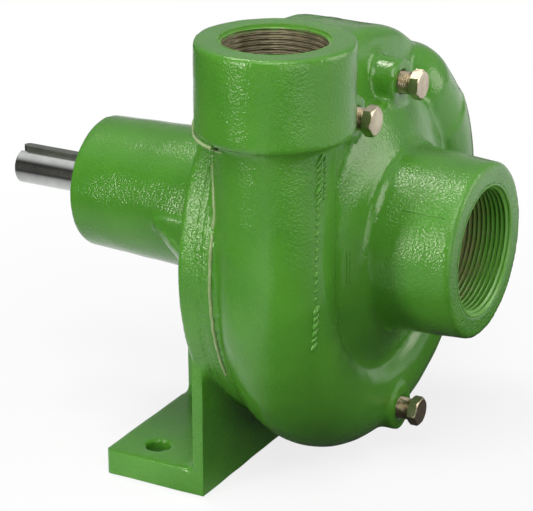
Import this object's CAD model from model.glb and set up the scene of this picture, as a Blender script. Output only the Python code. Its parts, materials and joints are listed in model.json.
# %% [markdown]
# # A small end-suction pump, painted green
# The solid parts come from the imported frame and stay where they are. This file adds what a solid model
# can't show: cast fillets and the dimpled skin of painted iron, cut pipe threads, plated plugs and ground
# steel. Lengths are in metres, +X runs along the shaft to the suction port and +Z is up.

# %% Load the frame and keep its size
import json
import math
import bmesh
import bpy
import numpy as np
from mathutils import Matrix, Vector, noise


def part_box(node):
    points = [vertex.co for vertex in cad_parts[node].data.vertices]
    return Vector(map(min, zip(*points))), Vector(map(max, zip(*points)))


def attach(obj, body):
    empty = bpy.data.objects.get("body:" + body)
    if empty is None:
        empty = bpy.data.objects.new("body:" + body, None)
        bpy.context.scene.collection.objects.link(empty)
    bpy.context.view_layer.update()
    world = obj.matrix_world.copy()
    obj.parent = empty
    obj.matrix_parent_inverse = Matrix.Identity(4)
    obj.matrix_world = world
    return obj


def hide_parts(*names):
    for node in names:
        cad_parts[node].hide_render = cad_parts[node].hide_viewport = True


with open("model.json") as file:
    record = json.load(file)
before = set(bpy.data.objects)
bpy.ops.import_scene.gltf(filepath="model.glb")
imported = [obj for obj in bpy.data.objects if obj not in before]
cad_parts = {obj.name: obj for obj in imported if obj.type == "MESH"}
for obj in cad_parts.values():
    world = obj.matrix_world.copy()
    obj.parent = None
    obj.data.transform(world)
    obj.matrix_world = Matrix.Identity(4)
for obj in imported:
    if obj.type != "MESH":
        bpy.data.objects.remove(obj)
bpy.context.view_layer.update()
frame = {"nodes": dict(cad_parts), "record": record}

nodes = frame["nodes"]


def sizes(name):
    """The low and the high corner of a node's box."""
    low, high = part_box(name)
    return Vector(low), Vector(high)


# %% [markdown]
# ## Camera
# The view was solved from the outline of the turned parts: 28.6 degrees round from the near side, 21.2
# degrees down, through a long lens. A long lens flattens the pump a little, which is why the two ends of
# the shaft line look almost equally large. The optical centre is the middle of the picture.

# %% Camera
picture_width_px, focal_length_px, sensor_mm = 533, 2246.66, 36.0
turn_degrees, drop_degrees = 28.613, 21.238

camera_data = bpy.data.cameras.new("studio_camera")
camera = bpy.data.objects.new("studio_camera", camera_data)
bpy.context.scene.collection.objects.link(camera)
camera_data.sensor_fit = "HORIZONTAL"
camera_data.sensor_width = sensor_mm
camera_data.lens = sensor_mm * focal_length_px / picture_width_px
camera_data.clip_end = 20.0
camera.location = (0.4927, -0.8658, 0.4704)
camera.rotation_euler = (math.radians(90 - drop_degrees), 0.0, math.radians(turn_degrees))
bpy.context.scene.camera = camera
print("lens mm", round(camera_data.lens, 1))

# %% [markdown]
# ## The room
# The picture was taken against a white backdrop in a darker room. A plain white world would light the pump
# from everywhere and kill its shadows. So the world is white only for the eye. For reflections it is dark
# but for the backdrop and the ceiling, which puts pale lines on the far edges of gloss paint, and what it
# gives as soft light is weak.


# %% Room
def add(tree, kind, at, values=None, **props):
    """Adds one node, sets its properties, then fills its inputs or links them to a node or a socket."""
    node = tree.nodes.new(kind)
    node.location = (at[0] * 200, at[1] * 160)
    for key, value in props.items():
        setattr(node, key, value)
    for key, value in (values or {}).items():
        if hasattr(value, "outputs"):
            value = value.outputs[0]
        if hasattr(value, "links"):
            tree.links.new(value, node.inputs[key])
        else:
            node.inputs[key].default_value = value
    return node


scene = bpy.context.scene
scene.view_settings.view_transform = "Standard"

white = (1.0, 1.0, 1.0, 1.0)
toward_backdrop = (-0.06, 0.998, 0.0)
dark_level, backdrop_level, ceiling_level, soft_level = 0.03, 0.45, 0.9, 0.03

world = bpy.data.worlds.new("studio")
scene.world = world
world.use_nodes = True
tree = world.node_tree
tree.nodes.clear()
path = add(tree, "ShaderNodeLightPath", (-4, 1)).outputs
way = add(tree, "ShaderNodeTexCoord", (-7, 0)).outputs["Generated"]
facing = add(tree, "ShaderNodeVectorMath", (-6, 0), {0: way, 1: toward_backdrop}, operation="DOT_PRODUCT")
backdrop = add(tree, "ShaderNodeMapRange", (-5, 0), {"Value": facing.outputs["Value"], "From Min": -0.1,
               "From Max": 0.5, "To Min": dark_level, "To Max": backdrop_level},
               interpolation_type="SMOOTHSTEP")
rise = add(tree, "ShaderNodeSeparateXYZ", (-6, -1), {0: way}).outputs["Z"]
ceiling = add(tree, "ShaderNodeMapRange", (-5, -1), {"Value": rise, "From Min": 0.5, "From Max": 0.9,
              "To Min": dark_level, "To Max": ceiling_level}, interpolation_type="SMOOTHSTEP")
level = add(tree, "ShaderNodeMath", (-4, 0), {0: backdrop, 1: ceiling}, operation="MAXIMUM")
seen = add(tree, "ShaderNodeMath", (-3, 1), {0: path["Is Camera Ray"], 1: path["Is Transmission Ray"]},
           operation="MAXIMUM")
soft = add(tree, "ShaderNodeBackground", (-3, 0), {"Color": (0.9, 0.95, 1.0, 1.0), "Strength": soft_level})
mirrored = add(tree, "ShaderNodeBackground", (-3, -1), {"Color": white, "Strength": level})
plain = add(tree, "ShaderNodeBackground", (-3, -2), {"Color": white, "Strength": 1.0})
room = add(tree, "ShaderNodeMixShader", (-2, 0), {0: path["Is Glossy Ray"], 1: soft, 2: mirrored})
room = add(tree, "ShaderNodeMixShader", (-1, 0), {0: seen, 1: room, 2: plain})
add(tree, "ShaderNodeOutputWorld", (0, 0), {"Surface": room})
print("world nodes", len(tree.nodes))

# %% [markdown]
# ## Lamps
# A highlight tells where a lamp stands: a ray from the camera, turned back by the paint, has to reach it.
# The bands of glints on the suction boss, the rim and the discharge boss all lead to one tall softbox left
# of the camera, and those on top of the boss to a lamp high up behind it. The three large lamps in front,
# above and at the right were added for the plain tones. The strengths were set by comparing patches of plain
# paint all over the pump with the picture.

# %% Lamps
centre = Vector((0.02, 0.0, 0.11))
toward_viewer, picture_right = Vector((0.479, -0.878, 0)), Vector((0.878, 0.479, 0))
lamp_distance, lamp_colour = 1.3, (1.0, 0.95, 0.85)


def around(turn, rise):
    """A place at an angle right of the camera and a height angle, as seen from the pump."""
    turn, rise = math.radians(turn), math.radians(rise)
    level_way = toward_viewer * math.cos(turn) + picture_right * math.sin(turn)
    return centre + lamp_distance * (level_way * math.cos(rise) + Vector((0, 0, math.sin(rise))))


def lamp(name, at, power, width, height):
    """A softbox that points at the pump."""
    data = bpy.data.lights.new(name, "AREA")
    data.shape = "RECTANGLE"
    data.size, data.size_y = width, height
    data.energy = power
    data.color = lamp_colour
    item = bpy.data.objects.new(name, data)
    item.location = at
    item.rotation_euler = (centre - at).to_track_quat("-Z", "Y").to_euler()
    scene.collection.objects.link(item)


lamps = (
    # name, degrees right, degrees up, watts, width, height
    ("left_box", -51, 13, 10.5, 0.2, 0.8),
    ("top_back", -132, 68, 7.0, 0.5, 0.26),
    ("front_top", 0, 55, 9.5, 0.8, 0.8),
    ("right_fill", 90, 20, 8.0, 0.8, 0.8),
    ("front_low", 28, 6, 6.5, 0.9, 0.9),
)
for name, turn, rise, power, width, height in lamps:
    lamp(name, around(turn, rise), power, width, height)
print("lamps", len(lamps))

# %% [markdown]
# ## Floor
# The backdrop sweeps under the pump, so the floor is white for the eye. Near the pump a fifth of it is a lit
# surface, which shows the soft shadow. Under the housing the picture shows a pale rim of bounced light, and
# the shaft mirrors a dark gap between pale stretches, so for mirrors and for bounced light the floor is
# striped across the picture: dark, pale under the housing, dark again, and pale at the right.

# %% Floor
floor_reach, floor_drop = 3.0, 0.0003
shadow_near, shadow_far, shadow_share = 0.1, 0.42, 0.2
stripe_reach = 0.5
stripes = ((0.15, 0.06), (0.4, 0.95), (0.455, 0.95), (0.505, 0.05), (0.78, 0.05), (0.85, 0.95))
bounce_share, bounce_least = 0.75, 0.03

floor_mesh = bpy.data.meshes.new("studio_floor")
floor_mesh.from_pydata([(-floor_reach, -floor_reach, 0), (floor_reach, -floor_reach, 0),
                        (floor_reach, floor_reach, 0), (-floor_reach, floor_reach, 0)], [], [(0, 1, 2, 3)])
floor = bpy.data.objects.new("studio_floor", floor_mesh)
scene.collection.objects.link(floor)
floor.location.z = -floor_drop

floor_paint = bpy.data.materials.new("pale_floor")
floor_paint.use_nodes = True
tree = floor_paint.node_tree
tree.nodes.clear()
path = add(tree, "ShaderNodeLightPath", (-6, 1)).outputs
spot = add(tree, "ShaderNodeTexCoord", (-6, 2)).outputs["Object"]
away = add(tree, "ShaderNodeVectorMath", (-5, 2), {0: spot}, operation="LENGTH").outputs["Value"]
near = add(tree, "ShaderNodeMapRange", (-4, 2), {"Value": away, "From Min": shadow_near,
           "From Max": shadow_far, "To Min": shadow_share, "To Max": 0.0}, interpolation_type="SMOOTHSTEP")
aside = add(tree, "ShaderNodeVectorMath", (-7, 4), {0: spot, 1: tuple(picture_right)},
            operation="DOT_PRODUCT").outputs["Value"]
along = add(tree, "ShaderNodeMapRange", (-6, 4), {"Value": aside, "From Min": -stripe_reach,
            "From Max": stripe_reach})
sheen = add(tree, "ShaderNodeValToRGB", (-5, 4), {0: along})
stops = sheen.color_ramp.elements
stops[0].position, stops[1].position = stripes[0][0], stripes[1][0]
for place, _ in stripes[2:]:
    stops.new(place)
for stop, (_, level) in zip(stops, stripes):
    stop.color = (level, level, level, 1.0)
lit = add(tree, "ShaderNodeBsdfDiffuse", (-4, 0), {"Color": (0.85, 0.89, 0.99, 1.0)})
dim = add(tree, "ShaderNodeMix", (-5, -1), {0: bounce_share, 6: (bounce_least,) * 3 + (1.0,), 7: sheen},
          data_type="RGBA").outputs[2]
bounce = add(tree, "ShaderNodeBsdfDiffuse", (-4, -1), {"Color": dim})
glow = add(tree, "ShaderNodeEmission", (-4, -2), {"Color": sheen, "Strength": 1.0})
plain = add(tree, "ShaderNodeEmission", (-4, 1), {"Color": white, "Strength": 1.0})
shown = add(tree, "ShaderNodeMixShader", (-3, 1), {0: near, 1: plain, 2: lit})
both = add(tree, "ShaderNodeMixShader", (-2, 0), {0: path["Is Glossy Ray"], 1: bounce, 2: glow})
both = add(tree, "ShaderNodeMixShader", (-1, 0), {0: path["Is Camera Ray"], 1: both, 2: shown})
add(tree, "ShaderNodeOutputMaterial", (0, 0), {"Surface": both})
floor_mesh.materials.append(floor_paint)
print("floor nodes", len(tree.nodes))

# %% [markdown]
# ## Gloss enamel
# Gloss enamel over sand-cast iron is a hard clear surface over green: the casting's grain shows as soft
# dimples about a millimetre apart, with finer pits between them. Paint could be one flat colour with a
# bump, but it lies unevenly and thins on the crests, so two greens are mixed in broad patches and a lighter
# one lies on the crests of the dimples. Patterns are sized in real millimetres because they use the
# object's own coordinates in metres. The skin is deeper round the two bosses and the rim, where the mould
# was rougher.


# %% Enamel
def srgb(code):
    """Turns a screen colour such as 528E36 into the linear colour that shaders use."""
    parts = [int(code[i:i + 2], 16) / 255 for i in (0, 2, 4)]
    return tuple(c / 12.92 if c <= 0.04045 else ((c + 0.055) / 1.055) ** 2.4 for c in parts) + (1.0,)


def material(name):
    """An empty material, its tree and the object's own coordinates."""
    mat = bpy.data.materials.new(name)
    mat.use_nodes = True
    tree = mat.node_tree
    tree.nodes.clear()
    where = add(tree, "ShaderNodeTexCoord", (-8, 0)).outputs["Object"]
    return mat, tree, where


def finish(tree, values):
    """The shader and the output that end every material's tree."""
    shader = add(tree, "ShaderNodeBsdfPrincipled", (0, 0), values)
    add(tree, "ShaderNodeOutputMaterial", (2, 0), {"Surface": shader})


def grain(tree, at, where, spacing_mm, detail, rough):
    """Noise whose lumps are that many millimetres apart."""
    return add(tree, "ShaderNodeTexNoise", at, {"Vector": where, "Scale": 1000 / spacing_mm,
               "Detail": detail, "Roughness": rough})


def ranged(tree, at, value, low, high, least=0.0, most=1.0):
    """Turns the stretch from low to high into the one from least to most."""
    return add(tree, "ShaderNodeMapRange", at, {0: value, 1: low, 2: high, 3: least, 4: most})


def blend(tree, at, share, first, second):
    """A colour between two."""
    return add(tree, "ShaderNodeMix", at, {0: share, 6: first, 7: second}, data_type="RGBA").outputs[2]


def clouded(tree, where, spacing_mm, detail, rough, dark, light):
    """Two colours mixed in soft clouds."""
    cloud = grain(tree, (-6, 1), where, spacing_mm, detail, rough)
    return blend(tree, (-4, 1), ranged(tree, (-5, 1), cloud, 0.35, 0.65), srgb(dark), srgb(light))


def enamel(name, deep, main, light, zones=(), smooth=0.00014):
    """Gloss enamel over cast iron: lighter on the crests of the dimples, glossy all over.

    A zone is (point, directions that count, reach, depth): the skin is as deep as that inside the reach."""
    mat, tree, where = material(name)
    dimple = grain(tree, (-6, 1), where, 1.15, 2.0, 0.55)
    fine = grain(tree, (-6, 0), where, 0.5, 2.0, 0.5)
    broad = grain(tree, (-6, 2), where, 26, 3.0, 0.5)
    patches = grain(tree, (-6, 3), where, 30, 1.0, 0.4)
    tone = blend(tree, (-4, 2), ranged(tree, (-5, 2), broad, 0.35, 0.65), srgb(deep), srgb(main))
    crest = ranged(tree, (-5, 1), dimple, 0.45, 0.7, 0.0, 0.35)
    tone = blend(tree, (-3, 2), crest, tone, srgb(light))
    gloss = ranged(tree, (-3, 0), fine, 0.3, 0.7, 0.08, 0.15)
    depth = ranged(tree, (-5, -1), patches, 0.35, 0.65, smooth * 0.7, smooth * 1.3)
    for k, (point, across, reach, deeper) in enumerate(zones):
        moved = add(tree, "ShaderNodeVectorMath", (-8, -2 - k), {0: where, 1: point}, operation="SUBTRACT")
        flat = add(tree, "ShaderNodeVectorMath", (-7, -2 - k), {0: moved, 1: across}, operation="MULTIPLY")
        gap = add(tree, "ShaderNodeVectorMath", (-6, -2 - k), {0: flat}, operation="LENGTH")
        there = add(tree, "ShaderNodeMapRange", (-5, -2 - k), {"Value": gap.outputs["Value"],
                    "From Min": reach * 0.96, "From Max": reach * 1.04, "To Min": deeper, "To Max": 0.0},
                    interpolation_type="SMOOTHSTEP")
        depth = add(tree, "ShaderNodeMath", (-4, -2 - k), {0: depth, 1: there}, operation="MAXIMUM")
    skin = add(tree, "ShaderNodeBump", (-3, -1), {"Strength": 1.0, "Distance": depth, "Height": dimple})
    pits = add(tree, "ShaderNodeBump", (-1, -1), {"Strength": 1.0, "Distance": 0.00002, "Height": fine,
               "Normal": skin})
    finish(tree, {"Base Color": tone, "Roughness": gloss, "IOR": 1.45, "Normal": pits})
    return mat


suction_zone = ((0.14, 0.0, 0.11), (0.9, 1.0, 1.0), 0.057, 0.00032)
rim_zone = ((0.0355, 0.0, 0.0), (1.0, 0.0, 0.0), 0.0085, 0.00036)
boss_zone = ((0.0635, -0.0715, 0.2), (1.0, 1.0, 0.4), 0.036, 0.00028)
# Sprayed green enamel: wet-looking, with glints that break up over the grain.
green_casing = enamel("gloss_green_enamel_casing", "44822A", "4C8B2E", "539434",
                      (suction_zone, rim_zone, boss_zone))
# The same paint over the frame, whose housing has a slightly rougher skin.
green_frame = enamel("gloss_green_enamel_frame", "44822A", "4C8B2E", "539434", (rim_zone,), 0.00016)
# Paint that has dried in a thick ridge and been rubbed: pale, dusty green.
paint_ridge = enamel("paint_ridge_worn_pale", "7F9A66", "93AC7C", "A6BC92")
print("enamels", green_casing.name, green_frame.name, paint_ridge.name)

# %% [markdown]
# ## Bare and plated metal
# A tool leaves lines along its path. Grinding a shaft leaves them round it, so its mirror image is drawn
# out along the length; drawing a key bar leaves them along it. One noise, squeezed or stretched by unequal
# spacings, gives all of these, and a cloudy mix of two greys keeps a large face from looking like plastic.


# %% Metals
def metal(name, dark, light, rough, spacing=(3.0, 3.0, 3.0), lift=0.2):
    """Bare or plated metal; the spacing of its grain along X, Y and Z is in millimetres."""
    mat, tree, where = material(name)
    scaled = add(tree, "ShaderNodeVectorMath", (-7, 0), {0: where, 1: [1000.0 / s for s in spacing]},
                 operation="MULTIPLY")
    lines = add(tree, "ShaderNodeTexNoise", (-6, 0), {"Vector": scaled, "Scale": 1.0, "Detail": 4.0,
                "Roughness": 0.6})
    tone = clouded(tree, where, 9, 3.0, 0.55, dark, light)
    gloss = ranged(tree, (-4, 0), lines, 0.3, 0.7, rough * 0.75, rough * 1.3)
    skin = add(tree, "ShaderNodeBump", (-2, -1), {"Strength": lift, "Distance": 0.00005, "Height": lines})
    finish(tree, {"Base Color": tone, "Metallic": 1.0, "Roughness": gloss, "Normal": skin})
    return mat


# Ground and oiled: sharp bands of light along the shaft.
ground_steel = metal("ground_steel_shaft", "C6C9C6", "D6D8D5", 0.11, (0.25, 40.0, 40.0), 0.08)
# Cold-drawn bar: dark grey with lines along it.
key_steel = metal("drawn_key_steel", "6E736C", "848A81", 0.3, (30.0, 0.4, 0.4))
# Turned and left bright: rings round the axis.
stainless = metal("stainless_steel", "A8A9A8", "CDCDCB", 0.28, (0.6, 12.0, 12.0))
# Hardened and ground: brighter, with very fine rings.
bearing_steel = metal("ground_bearing_steel", "B5B8BA", "D9DBDC", 0.16, (0.3, 20.0, 20.0))
# Lapped balls: an almost perfect mirror.
ball_steel = metal("polished_balls", "C9CBCD", "E6E7E8", 0.06, (4.0, 4.0, 4.0), 0.04)
# Pressed sheet: a dull, slightly warm sheen.
cage_steel = metal("pressed_cage_steel", "8F897A", "B7B1A2", 0.35)
# Phosphated spring steel: near black.
ring_steel = metal("phosphated_spring_steel", "3A3A3B", "555556", 0.45)
# Cast bronze as it comes from the mould: brown gold with a coarse grain.
bronze = metal("cast_bronze", "8F6A36", "B98D4C", 0.4, (2.0, 2.0, 2.0), 0.8)
# Nickel over turned steel: a warm grey with a soft shine.
plated = metal("warm_nickel_plate", "A89D88", "CBC0AA", 0.34, (3.0, 0.9, 0.9), 0.12)
print("metals", ground_steel.name, plated.name)

# %% [markdown]
# ## Rubber, carbon and ceramic
# None of these is a metal. Each has a fine grain of its own size and a faint cloudiness, and they differ
# most in gloss: moulded rubber is dull, while lapped seal faces shine.


# %% Dull materials
def dull(name, dark, light, rough, grain_mm=1.5, depth=0.0001):
    """A plain material with a fine grain and a little cloudiness."""
    mat, tree, where = material(name)
    fine = grain(tree, (-6, 0), where, grain_mm, 4.0, 0.6)
    tone = clouded(tree, where, 12, 2.0, 0.5, dark, light)
    gloss = ranged(tree, (-4, 0), fine, 0.3, 0.7, rough * 0.85, min(1.0, rough * 1.15))
    skin = add(tree, "ShaderNodeBump", (-2, -1), {"Strength": 0.4, "Distance": depth, "Height": fine})
    finish(tree, {"Base Color": tone, "Roughness": gloss, "Normal": skin})
    return mat


# Moulded in a blasted steel mould: black and even.
rubber = dull("moulded_nitrile_rubber", "101011", "1C1C1D", 0.55)
# Lapped flat: cream and glossy.
ceramic = dull("lapped_ceramic", "E4E1D8", "F2F0E8", 0.2, 0.8, 0.00002)
# Lapped flat: black with a satin shine.
carbon = dull("lapped_carbon", "1B1B1D", "29292C", 0.35, 0.6, 0.00002)
print("materials", len(bpy.data.materials))

# %% [markdown]
# ## Finishes of the solids that stay
# The solids inside the pump, and the shaft, are true enough to show as they are. Each only gets its
# finish. The gasket's edge was sprayed over with the rest, so it shows paint.

# %% Finishes of the solids
finish_of = {
    "casing_gasket": green_frame, "flange_screws": green_frame, "flange_lock_washers": green_frame,
    "wear_ring": bronze, "impeller": bronze, "impeller_nut": stainless, "impeller_washer": stainless,
    "impeller_key": key_steel, "pump_shaft": ground_steel, "drive_key": key_steel,
    "housing_snap_ring": ring_steel, "drive_end_seal": rubber, "pump_end_seal": rubber,
    "shaft_slinger": rubber, "seal_seat_cup": rubber, "seal_bellows": rubber, "seal_seat": ceramic,
    "seal_face_ring": carbon, "seal_spring": stainless, "seal_spring_cup": stainless,
}
for end in ("rear", "front"):
    finish_of[end + "_bearing_outer_ring"] = bearing_steel
    finish_of[end + "_bearing_inner_ring"] = bearing_steel
    finish_of[end + "_bearing_balls"] = ball_steel
    finish_of[end + "_bearing_cage"] = cage_steel
for name, mat in finish_of.items():
    mesh = nodes[name].data
    mesh.materials.clear()
    mesh.materials.append(mat)
print("solids with a finish", len(finish_of))

# %% [markdown]
# ## How a casting is made
# A sand casting has no sharp inner corner. Bevels could round a simple solid, but on two castings with this
# many meeting curves they fail at the joins. So each casting starts as a copy of its solid, is rebuilt on
# an even grid of small faces, and is then relaxed: a little everywhere, which rounds the outer edges, and
# much more where the surface is hollow, which grows the fillets. Last come the faint waves of the mould.


# %% Mesh helpers
def new_object(name, verts, faces):
    """An object at the origin with a mesh of these points and faces."""
    mesh = bpy.data.meshes.new(name)
    mesh.from_pydata(verts, [], faces)
    item = bpy.data.objects.new(name, mesh)
    scene.collection.objects.link(item)
    return item


def bake(item):
    """Replaces an object's mesh by what its modifiers make of it, and clears them."""
    view = bpy.context.evaluated_depsgraph_get()
    mesh = bpy.data.meshes.new_from_object(item.evaluated_get(view))
    item.modifiers.clear()
    old = item.data
    item.data = mesh
    bpy.data.meshes.remove(old)
    mesh.name = item.name


sharp_casting, sharp_piece, sharp_plug = 50, 40, 22


def shade(item, mat, sharp_degrees=None):
    """Gives a piece its material and smooth shading, with sharp edges past an angle."""
    mesh = item.data
    mesh.materials.clear()
    mesh.materials.append(mat)
    mesh.polygons.foreach_set("use_smooth", [True] * len(mesh.polygons))
    if sharp_degrees is not None:
        mesh.set_sharp_from_angle(angle=math.radians(sharp_degrees))
    mesh.update()


def outward(item):
    """Makes the faces of a closed piece point outward."""
    work = bmesh.new()
    work.from_mesh(item.data)
    bmesh.ops.recalc_face_normals(work, faces=work.faces)
    work.to_mesh(item.data)
    work.free()
    item.data.update()


def quads(rings, columns, start=0):
    """The faces between neighbouring rings of points."""
    return [(start + i * columns + k, start + i * columns + (k + 1) % columns,
             start + (i + 1) * columns + (k + 1) % columns, start + (i + 1) * columns + k)
            for i in range(rings - 1) for k in range(columns)]


def swirl(rows, columns, point):
    """A closed-round grid of points, with rows along the axis, as vertices and faces."""
    verts = [point(i, 2 * math.pi * k / columns) for i in range(rows) for k in range(columns)]
    return verts, quads(rows, columns)


def coords(mesh):
    """The mesh's points, as an array with three columns."""
    data = np.empty(len(mesh.vertices) * 3)
    mesh.vertices.foreach_get("co", data)
    return data.reshape(-1, 3)


def move_to(mesh, co):
    """Puts the mesh's points where the array says."""
    mesh.vertices.foreach_set("co", co.ravel())
    mesh.update()


# %% Casting tools
def casting_copy(name, source, extra):
    """A new object that holds a copy of a solid's mesh and an extra body."""
    mesh = nodes[source].data
    start = len(mesh.vertices)
    verts = [tuple(v.co) for v in mesh.vertices] + extra[0]
    faces = [list(p.vertices) for p in mesh.polygons] + [[i + start for i in face] for face in extra[1]]
    return new_object(name, verts, faces)


def regrid(item, grid_size):
    """Welds the solid's loose triangles and rebuilds the surface on an even grid."""
    weld = item.modifiers.new("weld", "WELD")
    weld.merge_threshold = 0.00001
    bake(item)
    grid = item.modifiers.new("grid", "REMESH")
    grid.mode = "VOXEL"
    grid.voxel_size = grid_size
    grid.adaptivity = 0.0
    bake(item)


def normals_of(mesh):
    """The direction of the surface at each point."""
    data = np.empty(len(mesh.vertices) * 3)
    mesh.vertex_normals.foreach_get("vector", data)
    return data.reshape(-1, 3)


def neighbour_mean(values, edges, degree):
    """Mean of each point's neighbours, for a column or for three."""
    wide = values.reshape(len(values), -1)
    out = np.empty_like(wide)
    for k in range(wide.shape[1]):
        col = wide[:, k]
        out[:, k] = (np.bincount(edges[:, 0], col[edges[:, 1]], len(col))
                     + np.bincount(edges[:, 1], col[edges[:, 0]], len(col))) / degree
    return out.reshape(values.shape)


hollow_share, spread_growth = 0.06, 1.4
relax, restore, fillet_pull, rounding = 0.5, 0.42, 0.6, 3


def cast(item, grid_size, fillet, spread, hold, share=None):
    """Rounds a casting: every edge a little, without shrinking it, and hollow edges into fillets."""
    regrid(item, grid_size)
    mesh = item.data
    co = coords(mesh)
    edges = np.empty(len(mesh.edges) * 2, dtype=np.int64)
    mesh.edges.foreach_get("vertices", edges)
    edges = edges.reshape(-1, 2)
    degree = np.maximum(np.bincount(edges.ravel(), minlength=len(co)), 1)
    hollow = np.einsum("ij,ij->i", neighbour_mean(co, edges, degree) - co, normals_of(mesh))
    weight = (hollow > hollow_share * grid_size).astype(float)
    for _ in range(spread):
        weight = np.maximum(weight, neighbour_mean(weight, edges, degree) * spread_growth)
        weight = np.minimum(weight, 1.0)
    if share is not None:
        weight *= share(co)
    free = (1 - hold(co))[:, None]
    for _ in range(rounding):
        co += relax * free * (neighbour_mean(co, edges, degree) - co)
        co -= restore * free * (neighbour_mean(co, edges, degree) - co)
    pull = (fillet_pull * weight)[:, None]
    for _ in range(fillet):
        co += pull * (neighbour_mean(co, edges, degree) - co)
    move_to(mesh, co)
    print(item.name, "points", len(co), "in fillets", int((weight > 0.3).sum()))


def ripple(item, depth, spacing):
    """Moves each point along its normal by a smooth seeded noise, as a sand mould leaves it."""
    mesh = item.data
    co, normal = coords(mesh), normals_of(mesh)
    shift = np.array([noise.noise(Vector(p) / spacing) for p in co]) * depth
    co += normal * shift[:, None]
    move_to(mesh, co)


def faced(item, low, high):
    """Trims what stands past the solid's box, as the machined port faces and the foot's underside are."""
    move_to(item.data, np.clip(coords(item.data), tuple(low), tuple(high)))


def rod(name, start, direction, length, radius, sides=96):
    """A closed round cutter along a direction."""
    axis = Vector(direction).normalized()
    side = axis.orthogonal().normalized()
    other = axis.cross(side)
    verts, faces = swirl(2, sides, lambda i, a: tuple(
        Vector(start) + axis * (i * length) + side * (radius * math.cos(a)) + other * (radius * math.sin(a))))
    faces += [tuple(range(sides - 1, -1, -1)), tuple(range(sides, 2 * sides))]
    return new_object(name, verts, faces)


def cut(item, cutters):
    """Takes each cutter out of a piece and removes the cutter."""
    for cutter in cutters:
        mod = item.modifiers.new("cut", "BOOLEAN")
        mod.operation = "DIFFERENCE"
        mod.solver = "MANIFOLD"
        mod.object = cutter
        bake(item)
        mesh = cutter.data
        bpy.data.objects.remove(cutter)
        bpy.data.meshes.remove(mesh)


# %% [markdown]
# ## Places that everything shares
# The ports and the foot's holes have real sizes in the record, and the gasket's box gives the joint
# between the two castings. Reading them here keeps the looks in step with the solids.

# %% Shared places
mounts = {m["name"]: m for m in frame["record"]["mounts"]}
limb_x = mounts["discharge_port"]["pos_m"][0]
shaft_z = mounts["suction_port"]["pos_m"][2]
casing_low, casing_high = sizes("volute_casing")
suction_x = casing_high.x
discharge = Vector(mounts["discharge_port"]["pos_m"])
discharge.z = casing_high.z
limb_y = discharge.y

joint_low, joint_high = sizes("casing_gasket")
joint_x = joint_high.x
joint_r = (joint_high.y - joint_low.y) / 2
rim_front = joint_x + 0.006
machined_x, machined_r = 0.0022, 0.004

plug_places = {}
for name in ("priming_plug", "vent_plug", "drain_plug"):
    low, high = sizes(name)
    plug_places[name] = (high.x, (low.y + high.y) / 2, (low.z + high.z) / 2)
print("suction face x", round(suction_x, 4), "discharge face z", round(discharge.z, 4),
      "joint x", round(joint_x, 4), "joint radius", round(joint_r, 4))


def from_shaft(co):
    """Each point's distance from the shaft's axis."""
    return np.hypot(co[:, 1], co[:, 2] - shaft_z)


def joint_face(co):
    """1 on the flat faces that meet at the gasket, where both castings are machined."""
    return ((abs(co[:, 0] - joint_x) < machined_x) & (from_shaft(co) > joint_r - machined_r)).astype(float)


# %% [markdown]
# ## Casing
# The casing is a ring chamber that grows round the impeller and leaves it as a straight limb to the
# discharge port. Small bodies are added to the solid's copy before its surface is rebuilt, which melts
# them in: the metal that fills the valley between the limb and the front wall, and balls along the first
# stretch of the chamber, so that it tapers in one sweep. Fillets are widest round the suction boss. They
# are kept small at the rim's step and the plug bosses, whose corners stay crisp in the picture.

# %% Extra metal of the casing
web_low_z, web_high_z, web_rows = 0.027, 0.068, 12
web_limb_x, web_limb_y, web_back_x = 0.0872, -0.0602, 0.07
web_wall_x, web_wall_r, web_turn_z, web_least_y = 0.0827, 0.0655, 0.0536, 0.038

start_balls, start_turn, start_sweep = 8, 117, 19
ring_y, ring_z, ring_r, ring_growth = 0.0027, 0.1061, 0.0742, 0.0008
tube_r, tube_shrink, ball_rows, ball_columns = 0.0262, 0.0026, 12, 24


def web_of_metal():
    """The metal that fills the valley between the discharge limb and the round front wall."""
    verts, rows = [], web_rows
    for i in range(rows):
        z = web_low_z + (web_high_z - web_low_z) * i / (rows - 1)
        edge = -max(web_least_y, math.sqrt(web_wall_r ** 2 - min(z, web_turn_z) ** 2))
        verts += [(web_limb_x, web_limb_y, shaft_z + z), (web_wall_x, edge, shaft_z + z),
                  (web_back_x, edge, shaft_z + z), (web_back_x, web_limb_y, shaft_z + z)]
    return verts, quads(rows, 4) + [(3, 2, 1, 0), tuple(4 * rows - 4 + k for k in range(4))]


def ball(centre_at, radius, rows, columns):
    """A closed ball with flat caps, its rows along X."""
    verts, faces = swirl(rows, columns, lambda i, a: (
        centre_at.x + radius * math.cos(math.pi * (i + 0.5) / rows),
        centre_at.y + radius * math.sin(math.pi * (i + 0.5) / rows) * math.cos(a),
        centre_at.z + radius * math.sin(math.pi * (i + 0.5) / rows) * math.sin(a)))
    faces += [tuple(range(columns))[::-1], tuple((rows - 1) * columns + k for k in range(columns))]
    return verts, faces


def volute_start():
    """Balls along the curved start of the volute, so that it tapers in one sweep instead of two."""
    verts, faces = [], []
    for i in range(start_balls):
        part = i / (start_balls - 1)
        turn = math.radians(start_turn + start_sweep * part)
        ring = ring_r + ring_growth * part
        at = Vector((limb_x, ring_y + ring * math.sin(turn), ring_z - ring * math.cos(turn)))
        new, shell = ball(at, tube_r - tube_shrink * part, ball_rows, ball_columns)
        faces += [tuple(len(verts) + k for k in f) for f in shell]
        verts += new
    return verts, faces


web, balls = web_of_metal(), volute_start()
extra = (web[0] + balls[0], web[1] + [tuple(k + len(web[0]) for k in f) for f in balls[1]])
print("extra points", len(extra[0]))

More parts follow.
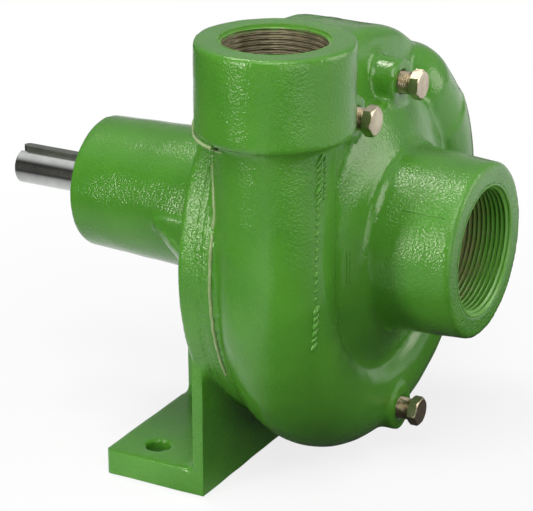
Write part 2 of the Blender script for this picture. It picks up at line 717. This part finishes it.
# %% Casing
casing_grid, casing_fillet, casing_spread = 0.00143, 14, 2
casing_wave, casing_wave_spacing = 0.00018, 0.011
suction_root_r, suction_root_x = 0.058, 0.044
rim_step_x, rim_step_r = 0.004, 0.007
plug_boss_r, plug_boss_x = 0.0135, 0.035
plain_share, small_share = 0.4, 0.08
suction_sleeve_r, suction_depth = 0.0302, 0.026
discharge_sleeve_r, discharge_depth = 0.0242, 0.024
sleeve_overlap, past_face = 0.0001, 0.01


def casing_fillets(co):
    """How far fillets grow: widest round the suction boss, least at the rim step and the plug bosses."""
    r = from_shaft(co)
    share = np.full(len(co), plain_share)
    share[(r < suction_root_r) & (co[:, 0] > joint_x + suction_root_x)] = 1.0
    share[(abs(co[:, 0] - rim_front) < rim_step_x) & (r > joint_r - rim_step_r)] = small_share
    for _, y, z in plug_places.values():
        around_plug = np.hypot(co[:, 1] - y, co[:, 2] - z)
        share[(around_plug < plug_boss_r) & (co[:, 0] > joint_x + plug_boss_x)] = small_share
    return share


casing = casting_copy("casing_casting", "volute_casing", extra)
cast(casing, casing_grid, casing_fillet, casing_spread, joint_face, casing_fillets)
ripple(casing, casing_wave, casing_wave_spacing)
faced(casing, casing_low, casing_high)
cut(casing, [
    rod("cut_suction", (suction_x - suction_depth, 0, shaft_z), (1, 0, 0), suction_depth + past_face,
        suction_sleeve_r - sleeve_overlap),
    rod("cut_discharge", (discharge.x, discharge.y, discharge.z - discharge_depth), (0, 0, 1),
        discharge_depth + past_face, discharge_sleeve_r - sleeve_overlap),
])
shade(casing, green_casing, sharp_casting)
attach(casing, "pump_body")
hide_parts("volute_casing")
print("casing faces", len(casing.data.polygons))

# %% [markdown]
# ## Bearing frame
# The frame is a second casting, and it is made the same way. Flat ribs run from each side of the housing
# to the flange. They are added as two thin wedges before the surface is rebuilt, so that they grow fillets
# too. The bolt holes are drilled after that, because drilled holes have sharp edges.

# %% Bearing frame
rib_tip_x, rib_root_x, rib_root_y, rib_reach_y = -0.0215, 0.0275, 0.0340, 0.0810
rib_low_z, rib_high_z = 0.1045, 0.1105
frame_grid, frame_fillet, frame_spread = 0.0013, 18, 3
frame_wave, frame_wave_spacing = 0.0002, 0.012
foot_side_z, foot_top_z, foot_corner_r = 0.011, 0.0128, 0.0035
drill_start, drill_length = -0.01, 0.04


def side_ribs():
    """The long flat ribs beside the housing, as closed triangles seen from above."""
    verts, faces = [], []
    for side in (-1, 1):
        start = len(verts)
        for z in (rib_low_z, rib_high_z):
            verts += [(rib_tip_x, side * rib_root_y, z), (rib_root_x, side * rib_root_y, z),
                      (rib_root_x, side * rib_reach_y, z)]
        corners = ((0, 1, 2), (5, 4, 3), (0, 3, 4, 1), (1, 4, 5, 2), (2, 5, 3, 0))
        faces += [tuple(start + i for i in f) for f in corners]
    return verts, faces


def rounded_corners(item, corner_x, corner_y):
    """Pulls the upright corners of the foot's free edge in to a quarter circle."""
    co = coords(item.data)
    across, beside = corner_x + foot_corner_r - co[:, 0], abs(co[:, 1]) - (corner_y - foot_corner_r)
    reach = np.hypot(across, beside)
    over = (co[:, 2] < foot_top_z) & (across > 0) & (beside > 0) & (reach > foot_corner_r)
    share = foot_corner_r / reach[over]
    co[over, 0] = corner_x + foot_corner_r - across[over] * share
    co[over, 1] = np.sign(co[over, 1]) * (corner_y - foot_corner_r + beside[over] * share)
    move_to(item.data, co)
    print("corner points moved", int(over.sum()))


housing = casting_copy("frame_casting", "bearing_frame", side_ribs())
cast(housing, frame_grid, frame_fillet, frame_spread, joint_face)
ripple(housing, frame_wave, frame_wave_spacing)
faced(housing, *sizes("bearing_frame"))
bolts = mounts["foot_bolts"]["dims"]
half_pitch, bolt_hole_r = bolts["spacing_y_mm"] / 2000, bolts["hole_r_mm"] / 1000
cut(housing, [rod("cut_bolt", (0, side * half_pitch, drill_start), (0, 0, 1), drill_length, bolt_hole_r, 48)
              for side in (-1, 1)])
foot = [v.co for v in housing.data.vertices if v.co.z < foot_side_z]
rounded_corners(housing, min(co.x for co in foot), max(co.y for co in foot))
shade(housing, green_frame, sharp_casting)
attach(housing, "pump_body")
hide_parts("bearing_frame")
print("frame faces", len(housing.data.polygons))

# %% [markdown]
# ## Port threads
# Both ports have taper pipe threads: 11 1/2 to the inch, 1 in 16 on the diameter, a 60 degree form with
# flattened crests. A thread could be a picture wrapped round a bore, but its shape catches the light at
# the mouth. So each port gets a closed sleeve whose inner wall is the real spiral, fading out at depth. In
# the discharge port the crests are torn, which shows as a nick along each of them. Paint has run over both
# mouths, and bare iron begins further in.


# %% Thread tools
def thread_form(phase, nick=0.0):
    """0 at the root and 1 at the crest, with small flats on both; a torn crest has a nick in it."""
    flat_share, slope_share, nick_share = 0.08, 0.84, 0.3
    saw = abs((phase % 1.0) * 2 - 1)
    form = min(1.0, max(0.0, (saw - flat_share) / slope_share))
    return form - nick * max(0.0, 1 - (1 - saw) / nick_share)


def placed(name, verts, faces, origin, axis, mat):
    """Turns points given as (radial, radial, along) into the frame and makes the object."""
    axis = Vector(axis)
    side = Vector((0, 1, 0)) if abs(axis.z) < 0.5 else Vector((1, 0, 0))
    other = axis.cross(side)
    item = new_object(name, [tuple(Vector(origin) + side * v[0] + other * v[1] + axis * v[2])
                             for v in verts], faces)
    shade(item, mat, sharp_piece)
    return item


port_pitch, port_steps, port_columns = 0.002209, 12, 120
taper_per_radius, crest_share, fade_turns, mouth_bevel, wall_start = 32, 0.96, 2.5, 0.0003, 0.00003


def port_thread(name, origin, axis, mouth_r, outer_r, depth, mat, recess=(0.0, 0.0), cut_depth=0.8,
                nick=0.0):
    """Threaded sleeve of a port: the origin is on the port's face and the axis points out.

    The recess is the radius and the depth of a plain counterbore, the cut is in pitches."""
    rows, columns = int(depth / port_pitch * port_steps), port_columns
    height = cut_depth * port_pitch

    def wall(along, angle):
        root = mouth_r - along / taper_per_radius
        form = thread_form(along / port_pitch + angle / (2 * math.pi), nick)
        fade = min(1.0, max(0.0, (depth - along) / (fade_turns * port_pitch)))
        r = root - height * form * crest_share if form > 0 else root
        r = min(r, root - height * (1 - fade))
        if along < recess[1]:
            return recess[0]
        return max(r, mouth_r + mouth_bevel - along)

    verts, faces = swirl(rows + 1, columns, lambda i, a: (
        wall(i * depth / rows, a) * math.cos(a), wall(i * depth / rows, a) * math.sin(a), -i * depth / rows))
    faces = [tuple(reversed(f)) for f in faces]
    first = len(verts)
    for along in (wall_start, depth):
        verts += [(outer_r * math.cos(2 * math.pi * k / columns),
                   outer_r * math.sin(2 * math.pi * k / columns), -along) for k in range(columns)]
    last = rows * columns
    for k in range(columns):
        n = (k + 1) % columns
        faces.append((first + k, k, n, first + n)[::-1])
        faces.append((first + k, first + n, first + columns + n, first + columns + k)[::-1])
        faces.append((last + k, first + columns + k, first + columns + n, last + n)[::-1])
    return placed(name, verts, faces, origin, axis, mat)


# %% Iron of the ports
def bore_iron(name, axis, mouth, coat, dark, light, shine):
    """Cut iron inside a port: paint has run over the mouth and the first threads, bare metal further in."""
    mat, tree, where = material(name)
    parts = add(tree, "ShaderNodeSeparateXYZ", (-7, 2), {0: where}).outputs
    depth = ranged(tree, (-6, 2), parts[axis], mouth, mouth - coat)
    ragged = grain(tree, (-6, 3), where, 3.5, 4.0, 0.6)
    ragged = ranged(tree, (-5, 3), ragged, 0.3, 0.7, -0.2, 0.2)
    edge = add(tree, "ShaderNodeMath", (-5, 2), {0: depth, 1: ragged}, operation="ADD")
    bare = ranged(tree, (-4, 2), edge, 0.3, 0.8)
    iron = clouded(tree, where, 5, 4.0, 0.6, dark, light)
    tone = blend(tree, (-3, 1), bare, srgb("5C9A3C"), iron)
    metallic = ranged(tree, (-3, 0), bare, 0.0, 1.0, 0.0, shine)
    gloss = ranged(tree, (-3, -1), bare, 0.0, 1.0, 0.3, 0.42)
    fine = grain(tree, (-6, -1), where, 0.8, 3.0, 0.6)
    skin = add(tree, "ShaderNodeBump", (-2, -1), {"Strength": 0.3, "Distance": 0.0001, "Height": fine})
    finish(tree, {"Base Color": tone, "Metallic": metallic, "Roughness": gloss, "Normal": skin})
    return mat


# Iron under overspray: olive, with no shine of its own.
suction_bore = bore_iron("suction_bore_iron", "X", suction_x, 0.03, "7C8454", "8C9162", 0.0)
# Bare cut iron from about 3 mm down: brown grey with a low shine.
discharge_bore = bore_iron("discharge_bore_iron", "Z", discharge.z, 0.004, "655F4B", "867F66", 0.35)

# %% Port threads
sleeve_inset = 0.00004
suction_mouth_r, discharge_mouth_r = 0.0294, 0.02335
discharge_recess = (0.02385, 0.0014)
suction_thread = port_thread("suction_thread", (suction_x - sleeve_inset, 0, shaft_z), (1, 0, 0),
                             suction_mouth_r, suction_sleeve_r, suction_depth, suction_bore)
discharge_thread = port_thread("discharge_thread", discharge - Vector((0, 0, sleeve_inset)), (0, 0, 1),
                               discharge_mouth_r, discharge_sleeve_r, discharge_depth, discharge_bore,
                               discharge_recess, cut_depth=0.5, nick=0.7)
for piece in (suction_thread, discharge_thread):
    outward(piece)
    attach(piece, "pump_body")
    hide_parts("volute_casing")
    print(piece.name, "faces", len(piece.data.polygons))

# %% [markdown]
# ## Plugs
# Three identical hexagon pipe plugs, 27 threads to the inch. The head has turned-down corners and a slight
# bevel underneath, and the shank shows a few turns of thread before it enters the boss. Each was screwed
# in until it was tight, so each stops at an angle of its own, which shows in which flat catches the light.


# %% Plug form
def hexagon_part(flats, head, shank, major_r, pitch, columns=48):
    """Head and threaded shank along Z: the head's outer face is at zero and the shank goes down."""
    height_share, steps_per_pitch, plain_start = 0.69, 6, 0.0005
    height = height_share * pitch
    rows = int(shank / pitch * steps_per_pitch)

    def wall(along, angle):
        if along < plain_start:
            return major_r - height
        return major_r - height * (1 - thread_form(along / pitch + angle / (2 * math.pi)))

    verts, faces = swirl(rows + 1, columns, lambda i, a: (
        wall(i * shank / rows, a) * math.cos(a), wall(i * shank / rows, a) * math.sin(a),
        -head - i * shank / rows))
    faces.append(tuple(rows * columns + k for k in range(columns)))
    face_r, corner_r = flats * 0.485, flats * 0.6
    profile = [(0.0, face_r), (0.00018, face_r + 0.0004), (0.0004, face_r + 0.0008), (0.00075, corner_r),
               (head - 0.0004, corner_r), (head, flats * 0.52), (head, major_r - height)]
    start = len(verts)
    for along, cap in profile:
        for k in range(columns):
            a = 2 * math.pi * k / columns
            r = min(flats / 2 / math.cos((a + math.pi / 6) % (math.pi / 3) - math.pi / 6), cap)
            verts.append((r * math.cos(a), r * math.sin(a), -along))
    faces += quads(len(profile), columns, start)
    faces.append(tuple(start + k for k in range(columns - 1, -1, -1)))
    return verts, faces


def turned(verts, degrees):
    """The points, turned round Z."""
    c, s = math.cos(math.radians(degrees)), math.sin(math.radians(degrees))
    return [(c * x - s * y, s * x + c * y, z) for x, y, z in verts]


# %% Plugs
plug_flats, plug_head, plug_shank, plug_major_r, plug_pitch = 0.0121, 0.0046, 0.0106, 0.00515, 0.000941
verts, faces = hexagon_part(plug_flats, plug_head, plug_shank, plug_major_r, plug_pitch)
for name, degrees in (("priming_plug", -22), ("vent_plug", -7), ("drain_plug", -24)):
    piece = placed(name + "_visual", turned(verts, degrees), faces, plug_places[name], (1, 0, 0), plated)
    outward(piece)
    piece.data.set_sharp_from_angle(angle=math.radians(sharp_plug))
    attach(piece, "pump_body")
    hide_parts(name)
    print(piece.name, "turned", degrees, "faces", len(piece.data.polygons))

# %% [markdown]
# ## Paint over the joint
# The pump was sprayed after assembly, so paint bridges the gasket's edge. A thin closed band round the rim
# does the same here: its middle stands a little proud and its edges dive under both castings.

# %% Paint over the joint
band_low, band_high, band_slope, band_columns = joint_x - 0.0016, joint_x + 0.0019, 0.0003, 240
band_proud, band_sunk, side_limit = 0.00006, -0.0004, 0.09299
band_wave, wave_per_step, wave_per_metre = 0.00003, 0.35, 900
section = ((band_low, band_sunk), (band_low + band_slope, band_proud),
           (band_high - band_slope, band_proud), (band_high, band_sunk))
verts = []
for k in range(band_columns):
    a = 2 * math.pi * k / band_columns
    for x, lift in section:
        wave = band_wave * noise.noise(Vector((k * wave_per_step, x * wave_per_metre, 0))) if lift > 0 else 0
        r = joint_r + lift + wave
        verts.append((x, min(r * math.cos(a), side_limit), shaft_z + r * math.sin(a)))
faces = [(4 * k + i, 4 * k + (i + 1) % 4, 4 * ((k + 1) % band_columns) + (i + 1) % 4,
          4 * ((k + 1) % band_columns) + i) for k in range(band_columns) for i in range(4)]
band = new_object("joint_paint", verts, faces)
shade(band, green_casing, sharp_piece)
outward(band)
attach(band, "pump_body")
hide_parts("volute_casing")
print("joint band mm", round((band_high - band_low) * 1000, 2))

# %% [markdown]
# ## Ridges of paint
# Where the limb leaves the rim, and under the lip of the discharge boss, thick paint has dried into a pale
# bead. A bead could be drawn on the surface with colour alone, but it casts a thin shadow, so it is a cord
# with an uneven thickness and pointed ends. Its path is laid on the casing by rays along the camera's line
# of sight, which puts it where the picture shows it whatever the fillets do.


# %% Ridge tools
def ridge(name, path, radius, mat, seed, sides=8):
    """A closed cord with an uneven thickness and pointed ends, along a path of points."""
    step_share, taper, uneven, waves_per_metre = 0.9, 3.0, 0.3, 700
    path = [Vector(p) for p in path]
    spots = [path[0]]
    for a, b in zip(path, path[1:]):
        count = max(1, round((b - a).length / (radius * step_share)))
        spots += [a.lerp(b, (i + 1) / count) for i in range(count)]
    last = len(spots) - 1
    verts = []
    for i, spot in enumerate(spots):
        tangent = (spots[min(i + 1, last)] - spots[max(i - 1, 0)]).normalized()
        side = tangent.cross(Vector((0.3, -0.9, 0.2))).normalized()
        other = tangent.cross(side)
        end = min(1.0, (min(i, last - i) + 0.4) / taper)
        for k in range(sides):
            a = 2 * math.pi * k / sides
            place = Vector((spot.x, spot.y + seed, spot.z)) * waves_per_metre
            wave = noise.noise(place + Vector((k * 0.7, 0, 0)))
            r = radius * end * (1 + uneven * wave)
            verts.append(tuple(spot + side * (r * math.cos(a)) + other * (r * math.sin(a))))
    faces = quads(last + 1, sides)
    faces += [tuple(range(sides)), tuple(last * sides + k for k in range(sides - 1, -1, -1))]
    item = new_object(name, verts, faces)
    shade(item, mat)
    outward(item)
    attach(item, "pump_body")
    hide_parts("volute_casing")
    print(name, "length mm", round(sum((b - a).length for a, b in zip(path, path[1:])) * 1000, 1))


def on_casing(origin, direction):
    """Where a ray meets the casing's finished surface, and the surface's direction there."""
    hit, place, normal, _ = casing.ray_cast(Vector(origin), Vector(direction).normalized())
    return (place, normal) if hit else (None, None)


toward_camera = (camera.location - centre).normalized()
sight_start = 0.06


def seen_on_casing(point, lift):
    """The place on the casing's skin that a viewer sees in line with a point."""
    place, normal = on_casing(Vector(point) + toward_camera * sight_start, -toward_camera)
    return Vector(point) if place is None else place + normal * lift


# %% Ridges of paint
bpy.context.view_layer.update()
ridge_sunk = -0.0004
crease_reach, crease_points, crease_split = 0.050, 38, 28
crease_z, crease_x = (0.0295, 0.036, 0.042, 0.050), (rim_front, 0.0414, 0.0397, 0.0370)
crease = []
for z in np.linspace(-crease_reach, crease_reach, crease_points):
    x = float(np.interp(z, crease_z, crease_x))
    crease.append((x, -math.sqrt(joint_r ** 2 - z * z) - 0.0001, shaft_z + z))
crease = [seen_on_casing(p, ridge_sunk) for p in crease]
ridge("paint_ridge_low", crease[:crease_split], 0.0009, paint_ridge, 1)
ridge("paint_ridge_high", crease[crease_split - 1:], 0.0011, paint_ridge, 5)

boss_r, skirt_z = 0.0344, 0.1752
lip_turns = [(205, skirt_z + 0.006), (207, skirt_z + 0.003)]
lip_turns += [(208 + 3 * i, skirt_z + 0.0003) for i in range(18)]
lip = [(limb_x + boss_r * math.cos(math.radians(a)), limb_y + boss_r * math.sin(math.radians(a)), z)
       for a, z in lip_turns]
ridge("paint_ridge_boss", [seen_on_casing(p, ridge_sunk) for p in lip], 0.0008, paint_ridge, 2)

# %% [markdown]
# ## A node group for what repeats
# The flash lumps and the cap screws are each one form set many times. A node group does it: it places a
# unit on points that carry their direction, turn and size, shakes the turn and the size by a seeded
# random amount, makes the copies real and gives them their material. The result is baked to a plain mesh.

# %% Node group
group = bpy.data.node_groups.new("copies_on_points", "GeometryNodeTree")
for label, kind in (("Points", "NodeSocketGeometry"), ("Unit", "NodeSocketObject"),
                    ("Turn jitter", "NodeSocketFloat"), ("Size jitter", "NodeSocketFloat"),
                    ("Seed", "NodeSocketInt"), ("Finish", "NodeSocketMaterial")):
    group.interface.new_socket(name=label, in_out="INPUT", socket_type=kind)
group.interface.new_socket(name="Copies", in_out="OUTPUT", socket_type="NodeSocketGeometry")
ask = add(group, "NodeGroupInput", (-5, 0)).outputs
unit = add(group, "GeometryNodeObjectInfo", (-4, -2), {"Object": ask["Unit"]}).outputs["Geometry"]
away = add(group, "GeometryNodeInputNamedAttribute", (-4, 1), {"Name": "away"}, data_type="FLOAT_VECTOR")
turn = add(group, "GeometryNodeInputNamedAttribute", (-4, 2), {"Name": "turn"}, data_type="FLOAT")
span = add(group, "GeometryNodeInputNamedAttribute", (-4, 3), {"Name": "span"}, data_type="FLOAT_VECTOR")
facing = add(group, "FunctionNodeAlignRotationToVector", (-3, 1), {"Vector": away}, axis="Z")
less = add(group, "ShaderNodeMath", (-4, 4), {0: ask["Turn jitter"], 1: -1.0}, operation="MULTIPLY")
shake = add(group, "FunctionNodeRandomValue", (-3, 4), {"Min": less, "Max": ask["Turn jitter"],
            "Seed": ask["Seed"]}, data_type="FLOAT")
shake = next(o for o in shake.outputs if o.enabled)
angle = add(group, "ShaderNodeMath", (-2, 3), {0: turn, 1: shake}, operation="ADD")
spin = add(group, "FunctionNodeAxisAngleToRotation", (-2, 2), {"Axis": (0.0, 0.0, 1.0), "Angle": angle})
facing = add(group, "FunctionNodeRotateRotation", (-1, 1), {"Rotation": facing, "Rotate By": spin},
             rotation_space="LOCAL")
least = add(group, "ShaderNodeMath", (-4, 5), {0: 1.0, 1: ask["Size jitter"]}, operation="SUBTRACT")
grow = add(group, "FunctionNodeRandomValue", (-3, 5), {"Min": least, "Max": 1.0, "Seed": ask["Seed"]},
           data_type="FLOAT")
grow = next(o for o in grow.outputs if o.enabled)
scaled = add(group, "ShaderNodeVectorMath", (-2, 4), {0: span, "Scale": grow}, operation="SCALE")
copies = add(group, "GeometryNodeInstanceOnPoints", (0, 0), {"Points": ask["Points"], "Instance": unit,
             "Rotation": facing, "Scale": scaled})
solid = add(group, "GeometryNodeRealizeInstances", (1, 0), {"Geometry": copies})
done = add(group, "GeometryNodeSetMaterial", (2, 0), {"Geometry": solid, "Material": ask["Finish"]})
add(group, "NodeGroupOutput", (3, 0), {"Copies": done})
print("group nodes", len(group.nodes))


def copies_on(name, unit_verts, unit_faces, places, mat, turn_jitter=0.0, size_jitter=0.0, seed=7):
    """Copies of a unit at places given as (point, direction, turn, size), baked to one mesh."""
    unit_mesh = bpy.data.meshes.new(name + "_unit")
    unit_mesh.from_pydata(unit_verts, [], unit_faces)
    unit_item = bpy.data.objects.new(name + "_unit", unit_mesh)
    item = new_object(name, [tuple(p[0]) for p in places], [])
    columns = (("away", "FLOAT_VECTOR", 1), ("turn", "FLOAT", 2), ("span", "FLOAT_VECTOR", 3))
    for label, kind, column in columns:
        layer = item.data.attributes.new(label, kind, "POINT")
        field = "value" if kind == "FLOAT" else "vector"
        for cell, place in zip(layer.data, places):
            setattr(cell, field, place[column])
    mod = item.modifiers.new("copies", "NODES")
    mod.node_group = group
    values = {"Unit": unit_item, "Turn jitter": turn_jitter, "Size jitter": size_jitter, "Seed": seed,
              "Finish": mat}
    for socket in group.interface.items_tree:
        if socket.in_out == "INPUT" and socket.name in values:
            mod[socket.identifier] = values[socket.name]
    bake(item)
    bpy.data.objects.remove(unit_item)
    bpy.data.meshes.remove(unit_mesh)
    shade(item, mat, sharp_piece)
    outward(item)
    print(name, "copies", len(places), "faces", len(item.data.polygons))
    return item


# %% [markdown]
# ## Flash on the limb
# The two halves of the mould met along the limb, and iron that crept between them was knocked off, which
# left slanted lumps: large ones at the top with a row of small ones beside them, small ones down the middle
# and large ones at the foot. Each lump is an ellipsoid half sunk in the limb, set where a level ray meets
# the casting.

# %% Flash on the limb
lump_rows, lump_columns, lump_slant = 7, 12, math.radians(122)
seam_degrees, seam_drift, seam_top, seam_length, seam_ray = -17, 3, 0.169, 0.087, 0.045
lump_rows_on_limb = (
    # first height, last height, step, length, width, height, degrees beside the seam
    (0.169, 0.150, 0.0030, 0.0036, 0.0011, 0.0012, 0.0),
    (0.169, 0.151, 0.0024, 0.0017, 0.0008, 0.0008, 8.0),
    (0.148, 0.105, 0.0037, 0.0018, 0.0009, 0.0008, -1.0),
    (0.102, 0.083, 0.0034, 0.0030, 0.0014, 0.0013, 0.0),
)
lump_verts, lump_faces = swirl(lump_rows, lump_columns, lambda i, a: (
    math.sin(math.pi * (i + 0.5) / lump_rows) * math.cos(a),
    math.sin(math.pi * (i + 0.5) / lump_rows) * math.sin(a),
    math.cos(math.pi * (i + 0.5) / lump_rows)))
lump_faces += [tuple(range(lump_columns)),
               tuple((lump_rows - 1) * lump_columns + k for k in range(lump_columns - 1, -1, -1))]
places = []
for first, last, step, long, wide, high, beside in lump_rows_on_limb:
    for i in range(int((first - last) / step) + 1):
        z = first - i * step
        a = math.radians(seam_degrees - seam_drift * (seam_top - z) / seam_length + beside)
        out = Vector((math.cos(a), math.sin(a), 0))
        place, normal = on_casing(Vector((limb_x, limb_y, z)) + out * seam_ray, -out)
        if place is not None:
            places.append((place, normal, lump_slant, (long, wide, high)))
flash = copies_on("limb_flash", lump_verts, lump_faces, places, green_casing, 0.2, 0.35)
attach(flash, "pump_body")
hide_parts("volute_casing")

# %% [markdown]
# ## Scars and the parting line
# Two fine upright lines on the front wall are scars from the mould, and a line along the suction boss is
# where the two halves of the mould met. All are thin cords half sunk in the skin, laid on by rays.

# %% Scars and the parting line
scar_y, scar_gap, scar_r = -0.051, 0.0008, 0.00032
scar_low_z, scar_high_z, scar_ray_x = 0.1035, 0.1195, 0.12
for k, dy in enumerate((-scar_gap, scar_gap)):
    line = [on_casing((scar_ray_x, scar_y + dy, z), (-1, 0, 0))[0]
            for z in np.linspace(scar_low_z, scar_high_z, 8)]
    ridge("scar_%d" % k, [p for p in line if p is not None], scar_r, green_casing, 3 + k)

parting_y, parting_z, parting_ray, parting_r = 0.79, -0.61, 0.09, 0.0003
seam = []
for x in np.linspace(suction_x - 0.026, suction_x - 0.006, 10):
    place, normal = on_casing((x, -parting_ray * parting_y, shaft_z - parting_ray * parting_z),
                              (0, parting_y, parting_z))
    if place is not None:
        seam.append(place)
ridge("suction_parting", seam, parting_r, green_casing, 6)

# %% [markdown]
# ## Cap screws behind the flange
# Four hexagon cap screws hold the castings together. They are plain threaded screws like the plugs, so the
# same form makes them, and the node group sets the four. They were painted with the frame.

# %% Cap screws
screw_flats, screw_head, screw_major_r, screw_pitch, screw_circle_r = 0.013, 0.0053, 0.004, 0.00125, 0.084
low, high = sizes("flange_screws")
verts, faces = hexagon_part(screw_flats, screw_head, high.x - low.x - screw_head, screw_major_r, screw_pitch)
places = []
for i in range(4):
    a = math.radians(45 + 90 * i)
    point = Vector((low.x, screw_circle_r * math.cos(a), shaft_z + screw_circle_r * math.sin(a)))
    places.append((point, Vector((-1, 0, 0)), math.radians(20 + 35 * i), (1.0, 1.0, 1.0)))
screws = copies_on("cap_screws", verts, faces, places, green_frame)
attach(screws, "pump_body")
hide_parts("flange_screws")
